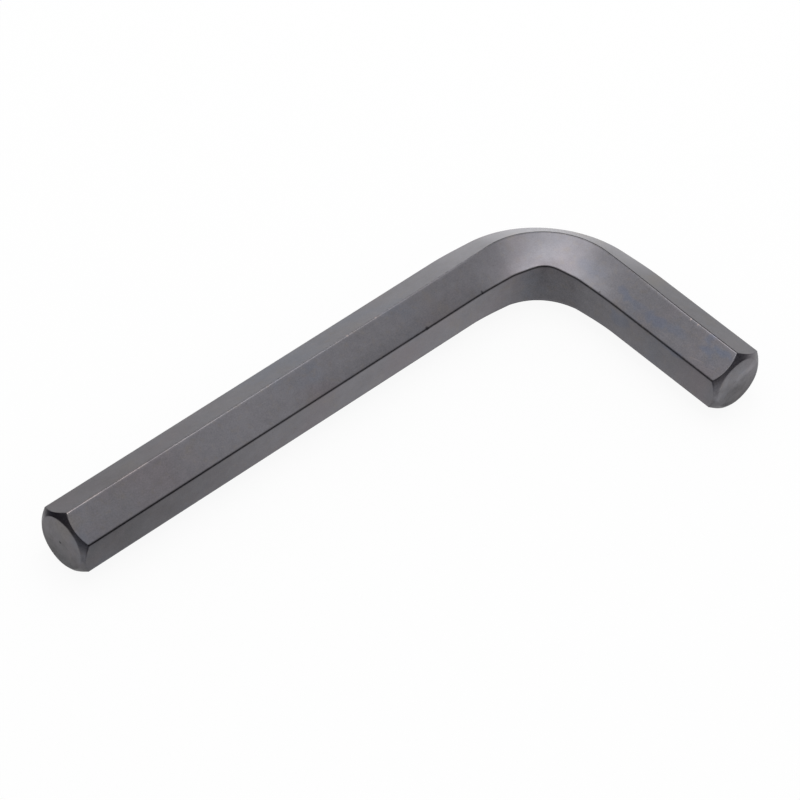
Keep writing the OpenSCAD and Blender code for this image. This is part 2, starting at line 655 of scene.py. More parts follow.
@dataclass(frozen=True)
class BlackOxide:
    """Oil-blackened drawn steel, with temper tints, draw lines and worn edges, and painted shade and
    highlights.

    A depth is how far a pattern lightens and darkens the oxide, as a share of it.
    A rough is what it adds to the roughness, and a height is in millimetres.
    """

    grey: Colour = (0.158, 0.154, 0.168)
    # Bare steel, also the colour of the painted glints and edge highlights.
    bare_steel_and_highlight: Colour = (0.30, 0.255, 0.245)
    soot: Colour = (0.035, 0.033, 0.037)
    tints: tuple[Tint, ...] = (
        Tint((0.163, 0.148, 0.160), Cloud((0.31, 0.17, 0.05), 42.0, 3.0, 0.55), (0.46, 0.68), 0.85),
        Tint((0.168, 0.154, 0.148), Cloud((0.12, 0.64, 0.29), 75.0, 4.0), (0.55, 0.74), 0.75),
        Tint((0.142, 0.150, 0.178), Cloud((0.83, 0.42, 0.11), 58.0), (0.52, 0.74), 0.70),
        Tint((0.168, 0.154, 0.148), Cloud((0.48, 0.36, 0.72), 640.0), (0.52, 0.70), 0.45),
    )

    temper_blue: Colour = (0.100, 0.128, 0.196)
    temper_spots: tuple[Spot, ...] = (
        Spot(29.2 * MM, 15.8 * MM, 2.6 * MM, 1.1 * MM, 0.40),
        Spot(33.4 * MM, 15.9 * MM, 2.2 * MM, 1.0 * MM, 0.28),
        Spot(40.6 * MM, 16.2 * MM, 4.0 * MM, 1.4 * MM, 0.50),
        Spot(47.5 * MM, 15.3 * MM, 3.6 * MM, 1.1 * MM, 0.35),
        Spot(57.0 * MM, 11.2 * MM, 1.2 * MM, 1.7 * MM, 0.45),
        Spot(58.2 * MM, 14.2 * MM, 2.4 * MM, 1.0 * MM, 0.50),
        Spot(61.8 * MM, 12.5 * MM, 2.2 * MM, 0.9 * MM, 0.60),
        Spot(17.2 * MM, 15.6 * MM, 4.5 * MM, 1.5 * MM, 0.20),
        Spot(32.0 * MM, 23.0 * MM, 3.2 * MM, 2.2 * MM, 0.35),
        Spot(50.7 * MM, 20.6 * MM, 3.4 * MM, 1.0 * MM, 0.35),
    )
    temper_edge: Span = (0.0, 2.0)
    temper_strength: Cloud = Cloud((0.12, 0.64, 0.29), 75.0, 4.0)
    temper_least: float = 0.35
    temper_swing: float = 0.9
    wander_along: Cloud = Cloud((0.05, 0.50, 0.77), 260.0, 3.0, 0.5)
    wander_around: Cloud = Cloud((0.61, 0.09, 0.33), 300.0, 3.0, 0.5)
    wander_length: float = 9 * MM
    wander_width: float = 4 * MM

    grain: Cloud = Cloud((0.0, 0.0, 0.0), 2600.0)
    grain_depth: float = 0.52
    grain_rough: float = 0.10
    grain_height: float = 0.006
    broad_lines: Grooves = Grooves(14.0, 900.0, 0.0, 2.0, 0.5)
    fine_lines: Grooves = Grooves(40.0, 3200.0, 4.0)
    fine_share: float = 0.55
    line_depth: float = 0.14
    line_rough: float = 0.06
    line_height: float = 0.007
    tool_rings: Grooves = Grooves(4200.0, 20.0, 9.0)
    ring_depth: float = 0.12
    ring_rough: float = 0.10
    ring_height: float = 0.006

    clouds: Cloud = Cloud((0.45, 0.28, 0.91), 95.0, 4.0)
    cloud_depth: float = 0.16
    blotches: Cloud = Cloud((0.22, 0.73, 0.56), 420.0)
    blotch_depth: float = 0.26
    smears: Cloud = Cloud((0.9, 0.9, 0.1), 330.0, 4.0, 0.7)
    smear_span: Span = (0.42, 0.70)
    smear_depth: float = 0.22
    pits: Cloud = Cloud((0.37, 0.15, 0.68), 1500.0, 1.0, 0.5)
    pit_span: Span = (0.74, 0.82)
    pit_strength: float = 0.30

    # Painted shade and sheen: each flat darker or lighter along the bar, where the light falls on it
    # unevenly.
    painted_shades: tuple[PaintedShade, ...] = (
        PaintedShade(Flat.INNER, (-25 * MM, 0.0), (10 * MM, 35 * MM), 0.32),
        PaintedShade(Flat.INNER, (12 * MM, 34 * MM), None, 0.13),
        PaintedShade(Flat.INNER, None, (-152 * MM, -80 * MM), 0.26),
        PaintedShade(Flat.INNER, (-92 * MM, -68 * MM), (-40 * MM, -16 * MM), -0.15),
        PaintedShade(Flat.BY_INNER_EDGE, (-105 * MM, -75 * MM), (-34 * MM, -10 * MM), 0.12),
        PaintedShade(Flat.UPPER, (20 * MM, 36 * MM), None, 0.09),
        PaintedShade(Flat.OUTER, (-19 * MM, -1 * MM), (17 * MM, 35 * MM), -0.46),
        PaintedShade(Flat.OUTER, (26 * MM, 42 * MM), None, 0.08),
    )
    # Painted shade: the oxide darker towards the long tip.
    long_tip: Span = (-155 * MM, -92 * MM)
    long_tip_shade_depth: float = 0.19
    # Painted shade: the end faces darker near their foot, by the floor.
    foot: Span = (2 * MM, 13 * MM)
    foot_shade_depth: float = 0.50
    # Painted shade: dark lines and dark edges that stand for the edges' dark reflections.
    painted_dark_lines: tuple[PaintedDarkLine, ...] = (
        PaintedDarkLine(9.86 * MM, 0.08 * MM, 0.26 * MM, (-24 * MM, -12 * MM), None, 0.62),
        PaintedDarkLine(10.06 * MM, 0.26 * MM, 0.44 * MM, (-32 * MM, -16 * MM), (22 * MM, 40 * MM), 0.279),
    )
    edge_shade_band: Span = (0.02 * MM, 0.32 * MM)
    below_ridge: Span = (18.0 * MM, 18.6 * MM)
    edge_shade_depth: float = 0.50

    roughness: float = 0.37
    patches: Cloud = Cloud((0.7, 0.2, 0.4), 130.0, 3.0, 0.5)
    patch_rough: float = 0.12
    turned_rough: float = 0.03
    worn_rough: float = -0.06
    bent: Span = (6 * MM, 30 * MM)
    bent_rough: float = 0.03
    scratch_share: float = 0.28
    scratch_height: float = -0.008
    nick_height: float = -0.06
    glint_share: float = 0.8
    wear_and_sheen: EdgeWearAndSheen = EdgeWearAndSheen()
    marks: HandlingMarks = HandlingMarks()

    def build(self) -> bpy.types.Material:
        """Makes the material.

        Returns:
            The finished material, which reads the bar's own map and attributes.
        """
        material = bpy.data.materials.new("black_oxide")
        material.use_nodes = True
        material.node_tree.nodes.clear()
        graph = ShaderGraph(material.node_tree)
        at = BarPlaces.read(graph)
        skin = self.skin(graph, at)
        shader = graph.node("ShaderNodeBsdfPrincipled")
        shader.inputs["Metallic"].default_value = 1.0
        graph.plug(shader.inputs["Base Color"], self.colour(graph, at, skin))
        graph.plug(shader.inputs["Roughness"], self.gloss(graph, at, skin))
        graph.plug(shader.inputs["Normal"], self.relief(graph, at, skin))
        output = graph.node("ShaderNodeOutputMaterial")
        graph.tree.links.new(shader.outputs[0], output.inputs["Surface"])
        return material

    def skin(self, graph: ShaderGraph, at: BarPlaces) -> Skin:
        """Grain, draw lines along the bar, the lathe's rings on the tips, marks, and wear with a painted
        edge highlight.

        Args:
            graph: the material's tree.
            at: where the shader is on the bar.

        Returns:
            What the looks of the finish share.
        """
        broad = graph.grooves(at.along, at.around, self.broad_lines)
        fine = graph.grooves(at.along, at.around, self.fine_lines)
        return Skin(
            grain=graph.cloud(at.object, self.grain),
            lines=broad * (1 - self.fine_share) + fine * self.fine_share,
            rings=graph.grooves(at.from_axis, at.around, self.tool_rings),
            scratched=self.marks.scratched(graph, at),
            nicked=self.marks.nicked(graph, at),
            worn_and_sheen=self.wear_and_sheen.mask(graph, at),
        )

    def colour(self, graph: ShaderGraph, at: BarPlaces, skin: Skin) -> Field:
        """The tinted oxide with its painted shade, bare steel where it is scratched or worn, painted
        glints and edge highlights in that colour, and soot in its pits.

        Args:
            graph: the material's tree.
            at: where the shader is on the bar.
            skin: the grain, lines, rings, marks, and wear with a painted edge highlight.

        Returns:
            The colour.
        """
        colour = graph.shade(self.tinted(graph, at), self.tone(graph, at, skin))
        colour = graph.blend(skin.scratched * self.scratch_share, colour, self.bare_steel_and_highlight)
        # Worn edges and the painted edge highlight, both in the bare steel's colour.
        colour = graph.blend(skin.worn_and_sheen, colour, self.bare_steel_and_highlight)
        # Painted glints on the top edge.
        glints = self.marks.glinting(graph, at)
        colour = graph.blend(glints * self.glint_share, colour, self.bare_steel_and_highlight)
        pits = graph.ramp(graph.cloud(at.object, self.pits), *self.pit_span) * self.pit_strength
        return graph.blend(graph.clamp(skin.nicked + pits), colour, self.soot)

    def tinted(self, graph: ShaderGraph, at: BarPlaces) -> Field:
        """The oxide's hue: grey, with plum, brown and blue clouds and temper spots.

        Args:
            graph: the material's tree.
            at: where the shader is on the bar.

        Returns:
            The colour.
        """
        colour: Union[Field, Colour] = self.grey
        for tint in self.tints:
            share = graph.ramp(graph.cloud(at.object, tint.cloud), *tint.span) * tint.share
            colour = graph.blend(share, colour, tint.colour)
        off_along = graph.cloud(at.object, self.wander_along) - 0.5
        off_around = graph.cloud(at.object, self.wander_around) - 0.5
        along = at.along + off_along * self.wander_length
        around = at.around + off_around * self.wander_width
        spots = graph.spots(along, around, self.temper_spots, self.temper_edge)
        strength = graph.cloud(at.object, self.temper_strength) * self.temper_swing
        return graph.blend(spots * (self.temper_least + strength), colour, self.temper_blue)

    def tone(self, graph: ShaderGraph, at: BarPlaces, skin: Skin) -> Field:
        """How light or dark the oxide is, about 1, with painted shade and sheen on the flats, the edges,
        the end faces' feet and the long tip.

        Args:
            graph: the material's tree.
            at: where the shader is on the bar.
            skin: the grain, lines, rings, marks, and wear with a painted edge highlight.

        Returns:
            What its hue is multiplied by.
        """
        even = 1.0 + (graph.cloud(at.object, self.clouds) - 0.5) * self.cloud_depth
        even = even + (graph.cloud(at.object, self.blotches) - 0.5) * self.blotch_depth
        even = even + (skin.grain - 0.5) * self.grain_depth
        even = even + (skin.lines - 0.5) * at.drawn * self.line_depth
        # Painted shade and sheen on the flats.
        even = even - self.painted_shading(graph, at) * at.drawn
        smear = graph.ramp(graph.cloud(at.object, self.smears), *self.smear_span)
        cut = (skin.rings - 0.5) * self.ring_depth - smear * self.smear_depth
        # Painted shade at the foot of the end faces.
        cut = cut - graph.fade(at.height, *self.foot) * self.foot_shade_depth
        even = even + cut * at.turned + self.marks.faces(graph, at)
        # Painted shade towards the long tip.
        tip = graph.fade(at.along, *self.long_tip) * self.long_tip_shade_depth
        # Painted shade along the edges.
        return even * (1 - self.painted_edge_shade(graph, at)) * (1 - tip)

    def painted_shading(self, graph: ShaderGraph, at: BarPlaces) -> Field:
        """How much painted shade darkens each flat, along and round the bar; a negative amount is painted
        sheen.

        Args:
            graph: the material's tree.
            at: where the shader is on the bar.

        Returns:
            The share of the oxide's colour that the painted shade takes away.
        """
        total: Number = 0.0
        for shade in self.painted_shades:
            stretch = graph.within(at.along, shade.rise, shade.fall)
            total = total + stretch * graph.within(at.around, *shade.flat.value) * shade.amount
        return total

    def painted_edge_shade(self, graph: ShaderGraph, at: BarPlaces) -> Field:
        """Painted shade: the dark edges below the top one, and the dark lines beside and on that one.

        Args:
            graph: the material's tree.
            at: where the shader is on the bar.

        Returns:
            The share of the oxide's colour that the painted shade takes away.
        """
        band = graph.fade(at.from_edge, *self.edge_shade_band)
        total = band * graph.fade(at.height, *self.below_ridge) * self.edge_shade_depth
        for line in self.painted_dark_lines:
            beside = graph.near(at.around, line.around, line.core, line.rim)
            total = total + beside * graph.within(at.along, line.rise, line.fall) * line.amount
        return graph.clamp(total) * at.drawn

    def gloss(self, graph: ShaderGraph, at: BarPlaces, skin: Skin) -> Field:
        """The roughness: uneven, with duller turned tips and a duller bend.

        Args:
            graph: the material's tree.
            at: where the shader is on the bar.
            skin: the grain, lines, rings, marks, and wear with a painted edge highlight.

        Returns:
            The roughness.
        """
        patchy = graph.cloud(at.object, self.patches)
        rough = self.roughness + (patchy - 0.5) * self.patch_rough
        rough = rough + (skin.grain - 0.5) * self.grain_rough
        rough = rough + (skin.lines - 0.5) * self.line_rough
        rough = rough + (skin.rings - 0.5) * at.turned * self.ring_rough
        rough = rough + at.turned * self.turned_rough + skin.worn_and_sheen * self.worn_rough
        return rough + graph.near(at.along, 0.0, *self.bent) * self.bent_rough

    def relief(self, graph: ShaderGraph, at: BarPlaces, skin: Skin) -> Field:
        """The normal, with the grain, the lines, the rings and the marks pressed in.

        Args:
            graph: the material's tree.
            at: where the shader is on the bar.
            skin: the grain, lines, rings, marks, and wear with a painted edge highlight.

        Returns:
            The normal.
        """
        height = (skin.grain - 0.5) * self.grain_height
        height = height + (skin.lines - 0.5) * at.drawn * self.line_height
        height = height + (skin.rings - 0.5) * at.turned * self.ring_height
        height = height + skin.scratched * self.scratch_height + skin.nicked * self.nick_height
        bump = graph.node("ShaderNodeBump")
        bump.inputs["Distance"].default_value = 1 * MM
        bump.inputs["Strength"].default_value = 1.0
        graph.plug(bump.inputs["Height"], height)
        return graph.out(bump)


# The key


class Detail(Enum):
    """How finely a stretch of the bar is cut, as cuts between its rings."""

    FACE = 10
    CHAMFER = 26
    ARM = 24
    BEND = 139
    FLAT = 18


@dataclass
class BentBar:
    """The hexagon bar: its section, the turned tips and the strained bend.

    The chamfer's length is a little less than in the part's source, because its roll
    takes it further along the corners.
    """

    across_flats: float = 17 * MM
    edge_radius: float = 0.6 * MM
    bend_radius: float = 21.8 * MM
    bend_reach: float = 13 * MM
    inner_spread: float = 1.15 * MM
    inner_push: float = 1.9 * MM
    outer_draw: float = 1.3 * MM
    outer_pinch: float = 0.65 * MM
    ridge_drift: float = 0.5 * MM
    ridge_place: float = 20 * MM
    ridge_reach: float = 30 * MM
    fold_reach: float = 16 * MM
    fold_back: float = 1.0 * MM
    fold_spread: float = 0.4 * MM
    lower_fold: float = 0.7
    face_hollow: float = 0.30 * MM
    tip_face_radius: float = 7.55 * MM
    chamfer_length: float = 1.70 * MM
    face_dome: float = 0.15 * MM
    chamfer_roll: float = 0.25 * MM
    crease: float = 0.10 * MM
    edge_steps: int = 8
    low: Vector = field(default_factory=lambda: Vector(CAD_BOX[0]))
    high: Vector = field(default_factory=lambda: Vector(CAD_BOX[1]))

    @property
    def half_flats(self) -> float:
        """From the bar's axis to a flat."""
        return self.across_flats / 2

    @property
    def half_corners(self) -> float:
        """From the bar's axis to a sharp corner."""
        return self.half_flats / FLATS_TO_CORNERS

    @property
    def edge_inset(self) -> float:
        """How much nearer to the axis a rounded edge stands than a sharp one."""
        return self.edge_radius * (1 / FLATS_TO_CORNERS - 1)

    @property
    def half_arc(self) -> float:
        """Half the length of the bend, along the axis."""
        return self.bend_radius * math.pi / 4

    @property
    def crossing(self) -> Vector:
        """Where the axes of the two arms cross."""
        level = self.half_corners - self.edge_inset
        return Vector((self.high.x - self.half_flats, self.high.y - self.half_flats, level))

    @property
    def tip_distances(self) -> tuple[float, float]:
        """How far along the bar each tip is from the middle of the bend."""
        start = self.crossing - Vector((self.bend_radius, self.bend_radius, 0))
        return (self.half_arc + start.x - self.low.x, self.half_arc + start.y - self.low.y)

    def inputs(self) -> dict[str, object]:
        """The tree's named inputs.

        Returns:
            Each input's name with its value.
        """
        long_tip, short_tip = self.tip_distances
        return {
            "Half Flats": self.half_flats,
            "Edge Radius": self.edge_radius,
            "Bend Radius": self.bend_radius,
            "Bend Reach": self.bend_reach,
            "Inner Spread": self.inner_spread,
            "Inner Push": self.inner_push,
            "Outer Draw": self.outer_draw,
            "Outer Pinch": self.outer_pinch,
            "Ridge Drift": self.ridge_drift,
            "Ridge Place": self.ridge_place,
            "Ridge Reach": self.ridge_reach,
            "Fold Reach": self.fold_reach,
            "Fold Back": self.fold_back,
            "Fold Spread": self.fold_spread,
            "Lower Fold": self.lower_fold,
            "Face Hollow": self.face_hollow,
            "Tip Face Radius": self.tip_face_radius,
            "Chamfer Length": self.chamfer_length,
            "Face Dome": self.face_dome,
            "Chamfer Roll": self.chamfer_roll,
            "Crease": self.crease,
            "Long Tip": long_tip,
            "Short Tip": short_tip,
            "Crossing": tuple(self.crossing),
        }

    def build(self, material: bpy.types.Material) -> bpy.types.Object:
        """Makes the bar's mesh.

        Args:
            material: the finish of the whole bar.

        Returns:
            The bar as one plain mesh object.
        """
        bar = bpy.data.objects.new("bent_bar", bpy.data.meshes.new("bent_bar"))
        bpy.context.scene.collection.objects.link(bar)
        modifier = bar.modifiers.new("shape", "NODES")
        modifier.node_group = BarTree(self.inputs(), self.edge_steps).build()
        values = {**self.inputs(), "Finish": material}
        for item in modifier.node_group.interface.items_tree:
            if item.in_out == "INPUT":
                modifier[item.identifier] = values[item.name]
        bpy.context.view_layer.update()
        depsgraph = bpy.context.evaluated_depsgraph_get()
        mesh = bpy.data.meshes.new_from_object(bar.evaluated_get(depsgraph))
        bar.modifiers.clear()
        bar.data = mesh
        return bar


@dataclass
class BarTree:
    """The Geometry Nodes tree that shapes the bar."""

    sizes: dict[str, object]
    edge_steps: int
    sides: int = 6
    roll_limit: float = 1.5
    turned_span: Span = (0.03 * MM, 0.11 * MM)
    merge_distance: float = 0.002 * MM
    beyond_chamfer: float = 1.3
    clear_length: float = 1 * MM
    clear_factor: float = 2.0

    def build(self) -> bpy.types.NodeTree:
        """Makes the tree.

        Returns:
            A modifier tree that ends in the whole bar, with its finish set.
        """
        tree = bpy.data.node_groups.new("bent_bar", "GeometryNodeTree")
        tree.is_modifier = True
        for name, value in self.sizes.items():
            kind = "NodeSocketVector" if isinstance(value, tuple) else "NodeSocketFloat"
            tree.interface.new_socket(name=name, in_out="INPUT", socket_type=kind)
        tree.interface.new_socket(name="Finish", in_out="INPUT", socket_type="NodeSocketMaterial")
        tree.interface.new_socket(name="Geometry", in_out="OUTPUT", socket_type="NodeSocketGeometry")
        graph = Graph(tree)
        given = graph.node("NodeGroupInput")
        size = {name: graph.out(given, name) for name in (*self.sizes, "Finish")}
        bar = self.dressed(graph, self.closed(graph, self.swept(graph, size)), size["Finish"])
        result = graph.node("NodeGroupOutput")
        graph.plug(result.inputs["Geometry"], bar)
        return tree

    def swept(self, graph: Graph, size: dict[str, Field]) -> Field:
        """Sweeps the section along the lathe's profile and round the bend.

        Args:
            graph: the tree being made.
            size: the tree's inputs.

        Returns:
            A grid in the bar's shape, open along one line, with its map and attributes.
        """
        section = self.section(graph, size)
        lathe = self.lathe_profile(graph, size)
        around = self.point_count(graph, section)
        grid = graph.node("GeometryNodeMeshGrid")
        graph.plug(grid.inputs["Vertices X"], self.point_count(graph, lathe))
        graph.plug(grid.inputs["Vertices Y"], around + 1)

        index = graph.out(graph.node("GeometryNodeInputIndex"))
        ring = graph.math("FLOOR", (index + 0.5) / (around + 1))
        step = index - ring * (around + 1)
        seam = graph.math("GREATER_THAN", step, around - 0.5)
        corner = step - seam * around
        place = graph.out(graph.node("GeometryNodeInputPosition"))
        along, limit, _ = graph.split(self.sample(graph, lathe, place, ring, "FLOAT_VECTOR"))
        out, up, _ = graph.split(self.sample(graph, section, place, corner, "FLOAT_VECTOR"))
        length = graph.out(graph.node("GeometryNodeSplineParameter"), "Length")
        girth = graph.node("GeometryNodeCurveLength")
        graph.plug(girth.inputs[0], section)
        travel = self.sample(graph, section, length, corner, "FLOAT") + seam * graph.out(girth)

        half_corners = size["Half Flats"] / FLATS_TO_CORNERS
        face = size["Tip Face Radius"]
        rolled = graph.clamp((limit - face) / (half_corners - face), 0.0, self.roll_limit)
        limit = limit - rolled * rolled * size["Chamfer Roll"]
        reach = graph.math("SQRT", out * out + up * up)
        turned = graph.math("SMOOTH_MIN", reach, limit, size["Crease"])
        edge_inset = size["Edge Radius"] * (1 / FLATS_TO_CORNERS - 1)
        scale = turned / reach

        shape = graph.node("GeometryNodeSetPosition")
        graph.plug(shape.inputs["Geometry"], graph.out(grid, "Mesh"))
        graph.plug(shape.inputs["Position"], self.bend(graph, size, along, out * scale, up * scale))
        removed = graph.ramp(reach - turned, *self.turned_span)
        body = self.store(graph, graph.out(shape), "turned", removed)
        body = self.store(graph, body, "from_edge", 2 * (half_corners - edge_inset - reach))
        body = self.store(graph, body, "from_axis", turned)
        of_points = graph.node("GeometryNodeFieldOnDomain", data_type="FLOAT_VECTOR", domain="POINT")
        graph.plug(of_points.inputs[0], graph.vector(along, travel))
        return self.store(graph, body, "bar", graph.out(of_points), "FLOAT2", "CORNER")

    def closed(self, graph: Graph, body: Field) -> Field:
        """Turns the swept grid right side out and joins its edges and end faces.

        Args:
            graph: the tree being made.
            body: the swept grid.

        Returns:
            The closed bar.
        """
        flip = graph.node("GeometryNodeFlipFaces")
        graph.plug(flip.inputs["Mesh"], body)
        merge = graph.node("GeometryNodeMergeByDistance")
        graph.plug(merge.inputs["Geometry"], graph.out(flip))
        graph.plug(merge.inputs["Distance"], self.merge_distance)
        smooth = graph.node("GeometryNodeSetShadeSmooth")
        graph.plug(smooth.inputs["Geometry"], graph.out(merge))
        return graph.out(smooth)

    def dressed(self, graph: Graph, body: Field, finish: Field) -> Field:
        """Makes the body real and gives it its finish.

        Args:
            graph: the tree being made.
            body: the closed bar.
            finish: its material.

        Returns:
            The dressed bar.
        """
        real = graph.node("GeometryNodeRealizeInstances")
        graph.plug(real.inputs["Geometry"], body)
        dress = graph.node("GeometryNodeSetMaterial")
        graph.plug(dress.inputs["Geometry"], graph.out(real))
        graph.plug(dress.inputs["Material"], finish)
        return graph.out(dress)

    def section(self, graph: Graph, size: dict[str, Field]) -> Field:
        """The bar's outline: X outwards from the bend and Y up.

        Args:
            graph: the tree being made.
            size: the tree's inputs.

        Returns:
            A closed curve with rounded corners and cuts along its flats.
        """
        hexagon = graph.node("GeometryNodeCurvePrimitiveCircle", mode="RADIUS")
        graph.plug(hexagon.inputs["Resolution"], self.sides)
        graph.plug(hexagon.inputs["Radius"], size["Half Flats"] / FLATS_TO_CORNERS)
        turn = graph.node("GeometryNodeTransform")
        graph.plug(turn.inputs["Geometry"], graph.out(hexagon))
        graph.plug(turn.inputs["Rotation"], (0.0, 0.0, math.pi / 6))
        fillet = graph.node("GeometryNodeFilletCurve", mode="POLY")
        graph.plug(fillet.inputs["Curve"], graph.out(turn))
        graph.plug(fillet.inputs["Count"], self.edge_steps)
        graph.plug(fillet.inputs["Radius"], size["Edge Radius"])
        per_corner = self.edge_steps + 1
        index = graph.out(graph.node("GeometryNodeInputIndex"))
        last = graph.math("COMPARE", graph.math("MODULO", index, per_corner), per_corner - 1, 0.5)
        cut = graph.node("GeometryNodeSubdivideCurve")
        graph.plug(cut.inputs["Curve"], graph.out(fillet))
        graph.plug(cut.inputs["Cuts"], last * Detail.FLAT.value)
        return graph.out(cut)

    def lathe_profile(self, graph: Graph, size: dict[str, Field]) -> Field:
        """What the lathe leaves: X along the bar and Y the radius that it cuts to.

        Args:
            graph: the tree being made.
            size: the tree's inputs.

        Returns:
            An open curve from the middle of one end face to that of the other.
        """
        face, dome, chamfer = (size[name] for name in ("Tip Face Radius", "Face Dome", "Chamfer Length"))
        half_corners = size["Half Flats"] / FLATS_TO_CORNERS
        slope = (half_corners - face) / chamfer
        strained = size["Bend Radius"] * (math.pi / 4) + size["Bend Reach"]
        end = chamfer * self.beyond_chamfer
        clear = face + chamfer * slope * self.beyond_chamfer
        # The dome falls with the square of the distance from the axis.
        midway = 0.5
        stops = []
        for tip, sign in ((size["Long Tip"], -1.0), (size["Short Tip"], 1.0)):
            half = [
                graph.vector(tip * sign, 0.0),
                graph.vector((tip - dome * midway * midway) * sign, face * midway),
                graph.vector((tip - dome) * sign, face),
                graph.vector((tip - end) * sign, clear),
                graph.vector((tip - end - self.clear_length) * sign, clear * self.clear_factor),
                graph.vector(strained * sign, clear * self.clear_factor),
            ]
            stops += half if sign < 0 else half[::-1]
        cuts = [Detail.FACE, Detail.FACE, Detail.CHAMFER, Detail.FACE, Detail.ARM, Detail.BEND]
        cuts = cuts + cuts[-2::-1]
        line = graph.node("GeometryNodeMeshLine", mode="OFFSET")
        graph.plug(line.inputs["Count"], len(stops))
        curve = graph.node("GeometryNodeMeshToCurve")
        graph.plug(curve.inputs["Mesh"], graph.out(line))
        index = graph.out(graph.node("GeometryNodeInputIndex"))
        shape = graph.node("GeometryNodeSetPosition")
        graph.plug(shape.inputs["Geometry"], graph.out(curve))
        graph.plug(shape.inputs["Position"], self.choose(graph, index, stops, "VECTOR"))
        cut = graph.node("GeometryNodeSubdivideCurve")
        graph.plug(cut.inputs["Curve"], graph.out(shape))
        numbers = [stretch.value for stretch in cuts] + [0]
        graph.plug(cut.inputs["Cuts"], self.choose(graph, index, numbers, "INT"))
        return graph.out(cut)

    def bend(self, graph: Graph, size: dict[str, Field], along: Field, out: Field, up: Field) -> Field:
        """Strains a point of the straight bar and puts it in its place.

        Args:
            graph: the tree being made.
            size: the tree's inputs.
            along: distance along the bar from the middle of the bend.
            out: distance from the bar's axis, away from the inside of the bend.
            up: distance above the bar's axis.

        Returns:
            The point's place.
        """
        half_arc = size["Bend Radius"] * (math.pi / 4)
        strain = self.hump(graph, along / (half_arc + size["Bend Reach"]))
        drift = self.hump(graph, (along - size["Ridge Place"]) / size["Ridge Reach"])
        outer = graph.clamp(out / size["Half Flats"])
        inner = graph.clamp(-out / size["Half Flats"])
        half_edge = size["Half Flats"] * math.tan(math.pi / 6)
        side = graph.clamp(up / half_edge, -1.0, 1.0)
        # The fold is sharp on the upper edge and smooth on the lower one.
        smooth = self.hump(graph, along / size["Fold Reach"])
        sharp = smooth * smooth
        fold = sharp + (smooth * size["Lower Fold"] - sharp) * (1 - side) / 2
        folded = inner * inner * fold
        pull = inner * size["Inner Push"] + outer * size["Outer Draw"]
        out = out - strain * pull + folded * size["Fold Back"]
        out = out + drift * (1 - inner - outer) * size["Ridge Drift"]
        widen = inner * size["Inner Spread"] - outer * size["Outer Pinch"]
        hollow = 4 * inner * (1 - inner) * size["Face Hollow"]
        up = up + side * (strain * (widen - hollow) + folded * size["Fold Spread"])

        on_arc = graph.clamp(along, -half_arc, half_arc)
        turn = (1 + on_arc / half_arc) * (math.pi / 4)
        past = along - on_arc
        radius = size["Bend Radius"] + out
        cross_x, cross_y, axis = graph.split(size["Crossing"])
        back = graph.math("MINIMUM", past, 0.0)
        ahead = graph.math("MAXIMUM", past, 0.0)
        return graph.vector(
            cross_x - size["Bend Radius"] + radius * graph.math("SINE", turn) + back,
            cross_y - size["Bend Radius"] + radius * graph.math("COSINE", turn) - ahead,
            axis + up,
        )

    def hump(self, graph: Graph, value: Field) -> Field:
        """A smooth hump: 1 at zero, falling to 0 at -1 and at 1.

        Args:
            graph: the tree being made.
            value: where on the hump.

        Returns:
            The hump's height.
        """
        share = graph.clamp(graph.math("ABSOLUTE", value))
        ease = 1 - share * share
        return ease * ease

    def choose(self, graph: Graph, index: Field, values: list[object], kind: str) -> Field:
        """Picks one of several values by its place in the list.

        Args:
            graph: the tree being made.
            index: which of them.
            values: the values.
            kind: Blender's name for their type.

        Returns:
            The value.
        """
        switch = graph.node("GeometryNodeIndexSwitch", data_type=kind)
        while len(switch.index_switch_items) < len(values):
            switch.index_switch_items.new()
        graph.plug(switch.inputs["Index"], index)
        for socket, value in zip(list(switch.inputs)[1:], values):
            graph.plug(socket, value)
        return graph.out(switch)

    def sample(self, graph: Graph, curve: Field, value: Field, index: Field, kind: str) -> Field:
        """A value at one point of a curve.

        Args:
            graph: the tree being made.
            curve: the curve.
            value: what is read there.
            index: which point.
            kind: Blender's name for the value's type.

        Returns:
            The value.
        """
        made = graph.node("GeometryNodeSampleIndex", data_type=kind, domain="POINT")
        graph.plug(made.inputs["Geometry"], curve)
        graph.plug(made.inputs["Value"], value)
        graph.plug(made.inputs["Index"], index)
        return graph.out(made)

    def point_count(self, graph: Graph, curve: Field) -> Field:
        """How many points a curve has.

        Args:
            graph: the tree being made.
            curve: the curve.

        Returns:
            Their number.
        """
        made = graph.node("GeometryNodeAttributeDomainSize", component="CURVE")
        graph.plug(made.inputs["Geometry"], curve)
        return graph.out(made, "Point Count")

    def store(
        self,
        graph: Graph,
        body: Field,
        name: str,
        value: Field,
        kind: str = "FLOAT",
        domain: str = "POINT",
    ) -> Field:
        """Keeps a value on the mesh under a name.

        Args:
            graph: the tree being made.
            body: the mesh.
            name: the attribute's name.
            value: the value.
            kind: Blender's name for its type.
            domain: what each value belongs to.

        Returns:
            The mesh with the attribute.
        """
        made = graph.node("GeometryNodeStoreNamedAttribute", data_type=kind, domain=domain)
        graph.plug(made.inputs["Geometry"], body)
        graph.plug(made.inputs["Name"], name)
        graph.plug(made.inputs["Value"], value)
        return graph.out(made)


# The studio


